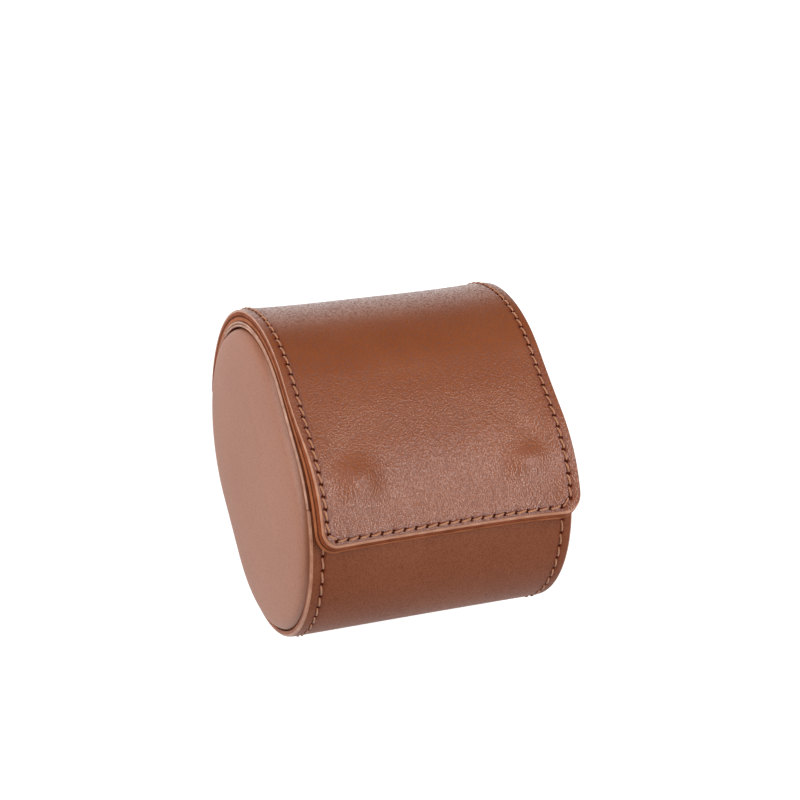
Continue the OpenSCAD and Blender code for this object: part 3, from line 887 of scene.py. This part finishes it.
def padded_cap(name, side):
    insets = np.concatenate([np.linspace(0, 3 * MM, 15)[:-1], np.linspace(3 * MM, 30.6 * MM, 42)])
    s = np.linspace(0, AROUND, 260, endpoint=False)
    rings = [place(side * (HALF_LEN - CAP_TUCK), s, CAP_R - SKIN_R)]
    for inset in insets:
        ring = place(side * (HALF_LEN + cap_height(inset)), s, CAP_R - SKIN_R - inset)
        wave = np.sin(ring[:, 1] / (9 * MM) + 1) * np.sin(ring[:, 2] / (11 * MM))
        ring[:, 0] += side * 0.05 * MM * wave * min(1, inset / (6 * MM))
        rings.append(ring)
    top = np.arange((len(rings) - 1) * len(s), len(rings) * len(s))
    faces = [*ring_quads(len(rings), len(s)), top]
    if side > 0:
        faces = [face[::-1] for face in faces]
    return mesh_piece(name, np.concatenate(rings), faces, [cap_face])


for side, word in ((-1, "left"), (1, "right")):
    cap = padded_cap("padded_cap_" + word, side)
    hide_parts("end_cap_" + word)
    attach(cap, "case")

# %% [markdown]
# ## Inside
# The lining is suede on the board, and the cushion is foam in a suede cover that a watch strap closes round.
# The cushion swells a little and its end panels meet the cover in a sewn welt.

# %% Suede lining
s, x = np.meshgrid(np.linspace(MOUTH_FRONT + 0.4 * MM, AROUND + MOUTH_REAR - 0.4 * MM, 260),
                   np.linspace(-31.45 * MM, 31.45 * MM, 70), indexing="ij")
ripple = 0.06 * MM * np.sin(s / (7 * MM)) * np.sin(x / (8 * MM))
lining = slab("barrel_suede_lining", place(x, s, -4.22 * MM + ripple), place(x, s, -3.58 * MM), inner_suede)
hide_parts("shell_lining")
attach(lining, "case")

# %% [markdown]
# The cushion starts as a slack, closed skin. It is blown up as cloth, so that it swells between its ends as
# stuffed suede does, and a limit on the movement keeps it inside its solid.

# %% Watch cushion
CUSHION_R, CUSHION_FLAT, CUSHION_Z = 18.05 * MM, 9.95 * MM, 22.65 * MM
CUSHION_SIDES = 200
PIPING_R, PIPING_X, PIPING_IN = 0.62 * MM, 28.1 * MM, 0.70 * MM


def cushion_ring(radius, x):
    a = np.linspace(0, 2 * math.pi, CUSHION_SIDES, endpoint=False)
    y = radius * np.cos(a) + np.clip(np.cos(a) * 6, -1, 1) * CUSHION_FLAT
    return np.stack([np.full(CUSHION_SIDES, x), y, CUSHION_Z + radius * np.sin(a)], -1)


def slack_cushion():
    """The cushion before it is filled: a little smaller than its cover."""
    end = [cushion_ring(CUSHION_R - inset * MM, x * MM)
           for inset, x in ((16, -28.7), (11, -28.7), (6, -28.7), (1.2, -28.6), (0.6, -28.1))]
    middle = [cushion_ring(CUSHION_R - 0.35 * MM, x * MM) for x in np.linspace(-25, 25, 17)]
    rings = end + middle + [ring * (-1, 1, 1) for ring in end[::-1]]
    return mesh_piece("watch_cushion", np.concatenate(rings), capped_rings(len(rings), CUSHION_SIDES),
                      [cushion_suede])


def settle(piece):
    """Make the piece's modifiers part of its mesh."""
    bpy.context.view_layer.update()
    done = bpy.data.meshes.new_from_object(piece.evaluated_get(bpy.context.evaluated_depsgraph_get()))
    piece.modifiers.clear()
    piece.data = done
    return piece


def where_points(mesh):
    spots = np.empty(len(mesh.vertices) * 3)
    mesh.vertices.foreach_get("co", spots)
    return spots.reshape(-1, 3)


def fill(piece, voxel, most, pressure, frames=20):
    """Blow a closed skin up as cloth; no point moves further than most."""
    remesh = piece.modifiers.new("even_grid", "REMESH")
    remesh.mode, remesh.voxel_size = "VOXEL", voxel
    settle(piece)
    before = where_points(piece.data)
    cloth = piece.modifiers.new("cloth", "CLOTH")
    cloth.settings.use_pressure, cloth.settings.uniform_pressure_force = True, pressure
    cloth.settings.effector_weights.gravity = 0
    cloth.point_cache.frame_start, cloth.point_cache.frame_end = 1, frames
    for frame in range(1, frames + 1):
        bpy.context.scene.frame_set(frame)
    swollen = where_points(piece.evaluated_get(bpy.context.evaluated_depsgraph_get()).data)
    piece.modifiers.remove(cloth)
    bpy.context.scene.frame_set(1)
    shift = swollen - before
    reach = np.linalg.norm(shift, axis=1)
    print("the filling moves points by up to", round(float(reach.max()) * 1000, 2), "mm, on average",
          round(float(reach.mean()) * 1000, 2), "mm")
    shift *= np.minimum(1, most / np.maximum(reach, 1e-9))[:, None]
    piece.data.vertices.foreach_set("co", (before + shift).ravel())
    rounder = piece.modifiers.new("rounder", "SUBSURF")
    rounder.levels = rounder.render_levels = 1
    settle(piece)
    piece.data.shade_smooth()
    return piece


cushion = fill(slack_cushion(), voxel=2.5 * MM, most=0.55 * MM, pressure=45.0)
print("the cushion has", len(cushion.data.vertices), "points")
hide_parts("cushion_cover", "cushion_end_left", "cushion_end_right", "cushion_foam")
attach(cushion, "cushion")


def piping(name, x):
    """The sewn welt round an end of the cushion: a closed tube of suede."""
    turns = np.linspace(0, 2 * math.pi, 14, endpoint=False)
    rings = [cushion_ring(CUSHION_R - PIPING_IN + PIPING_R * math.cos(a), x + PIPING_R * math.sin(a))
             for a in turns]
    return mesh_piece(name, np.concatenate(rings), ring_quads(len(rings), CUSHION_SIDES, closed=True),
                      [cushion_suede])


for side, word in ((-1, "left"), (1, "right")):
    welt = piping("cushion_piping_" + word, side * PIPING_X)
    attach(welt, "cushion")

# %% [markdown]
# ## The bend
# The flap opens by bending its leather at the mouth's rear edge. Here the place of the bend is worked out, and
# the leather, the lining and their stitches have their placement baked into their points; they are not blended
# across the joint, and not attached to the case or the flap.

# %% Place of the bend, and the flap's pieces baked in place
BEND_HEIGHT, BEND_HALF = 1.7 * MM, 4.5 * MM
bend_at = Vector(place(0, MOUTH_REAR, BEND_HEIGHT))
for piece in (flap_leather, flap_lining, flap_thread, flap_needle_holes):
    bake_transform(piece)

# %% [markdown]
# ## What stays as it was made
# The boards, end pads, magnets and end linings keep their solids. They only need their finishes. The solids
# that a piece stands for are given the same finish as that piece.

# %% Finish the plain solids
node_finishes = {
    board_finish: "shell_board end_board_left end_board_right",
    foam_finish: "end_pad_left end_pad_right cushion_foam",
    magnet_finish: "shell_magnets flap_magnets",
    inner_suede: "end_lining_left end_lining_right shell_lining",
    cushion_suede: "cushion_cover cushion_end_left cushion_end_right",
    barrel_face: "shell_leather mouth_rim_left mouth_rim_right",
    cap_face: "end_cap_left end_cap_right",
    flap_face: "flap_leather flap_anchor_leather",
    lining_face: "flap_lining flap_anchor_lining",
    thread: "shell_stitching flap_stitching flap_anchor_stitching"}
done = 0
for finish, names in node_finishes.items():
    for name in names.split():
        solid = frame["nodes"][name].data
        solid.materials.clear()
        solid.materials.append(finish)
        done += 1
print("nodes with a finish:", done, "of", len(frame["nodes"]))

# %% [markdown]
# ## Studio
# A white floor, five flat lamps and a dim even world. Two lamps above the front lie along the flap, and the
# leather shows them as broad soft sheens, with the darker room between them as the deep band across the flap.
# The others fill the rear, the low front and the left cap. The floor glows for the rays that see it directly
# or in a reflection, but lights nothing, so the object's shadow stays.

# %% Floor, lamps and world
FLOOR_GLOW = 0.85                           # near the case, where 1 is white
GLOW_FROM, GLOW_TO = 150, 600               # in mm from the case; the glow is 1 beyond
FLOOR_HALF = 3                              # in metres
WORLD_LIGHT = 0.09
LAMPS_AIM = Vector((0, 0, 0.035))
corners = [(-FLOOR_HALF, -FLOOR_HALF, 0), (FLOOR_HALF, -FLOOR_HALF, 0),
           (FLOOR_HALF, FLOOR_HALF, 0), (-FLOOR_HALF, FLOOR_HALF, 0)]
floor_mesh = bpy.data.meshes.new("floor")
floor_mesh.from_pydata(corners, [], [(0, 1, 2, 3)])
floor = bpy.data.objects.new("floor", floor_mesh)
bpy.context.collection.objects.link(floor)

floor_finish, tree, surface = shader("pale_floor", (0.42, 0.42, 0.42), 0.9, 0.1)
paper = noise(tree, object_millimetres(tree), Scale=1.5, Detail=3.0)
tree.links.new(ramp(tree, paper, [(0.3, (0.40, 0.40, 0.40)), (0.7, (0.44, 0.44, 0.44))]),
               surface.inputs["Base Color"])
rays = add(tree, "ShaderNodeLightPath").outputs
seen = calc(tree, "ADD", rays["Is Camera Ray"], rays["Is Glossy Ray"])
seen = calc(tree, "ADD", seen, rays["Is Transmission Ray"])
away = add(tree, "ShaderNodeVectorMath", operation="LENGTH")
tree.links.new(object_millimetres(tree), away.inputs[0])
glow = remap(tree, away.outputs["Value"], GLOW_FROM, GLOW_TO, FLOOR_GLOW, 1.0)
surface.inputs["Emission Color"].default_value = (1, 1, 1, 1)
tree.links.new(calc(tree, "MULTIPLY", seen, glow), surface.inputs["Emission Strength"])
floor_mesh.materials.append(floor_finish)


def lamp(name, towards, distance, width, height, brightness):
    """A flat lamp, its width along the barrel, or across it for a lamp that faces the barrel's end.
    Brightness is that of the lamp's face, where a white sheet in full light has 1."""
    data = bpy.data.lights.new(name, "AREA")
    data.shape, data.size, data.size_y = "RECTANGLE", width, height
    data.energy = brightness * math.pi * width * height
    light = bpy.data.objects.new(name, data)
    out = Vector(towards).normalized()
    along = Vector((1, 0, 0)) if abs(out.x) < 0.9 else Vector((0, 1, 0))
    along = (along - out * along.dot(out)).normalized()
    light.matrix_world = Matrix((along, out.cross(along), out)).transposed().to_4x4()
    light.location = LAMPS_AIM + out * distance
    bpy.context.collection.objects.link(light)


lamp("front_core", (0.37, -0.70, 0.60), 0.80, 0.14, 0.56, 7.6)
lamp("top_sheet", (0.37, -0.14, 0.93), 0.70, 0.25, 0.50, 6.3)
lamp("rear_fill", (-0.38, 0.55, 0.74), 0.90, 0.45, 0.45, 4.8)
lamp("low_strip", (0.37, -0.87, 0.34), 0.80, 0.22, 0.28, 7.0)
lamp("left_fill", (-1.0, 0.10, 0.45), 0.80, 0.70, 0.70, 3.1)

world = bpy.data.worlds.new("studio")
bpy.context.scene.world = world
world.use_nodes = True
world.node_tree.nodes["Background"].inputs["Color"].default_value = (1, 1, 1, 1)
world.node_tree.nodes["Background"].inputs["Strength"].default_value = WORLD_LIGHT
bpy.context.scene.view_settings.view_transform = "Standard"
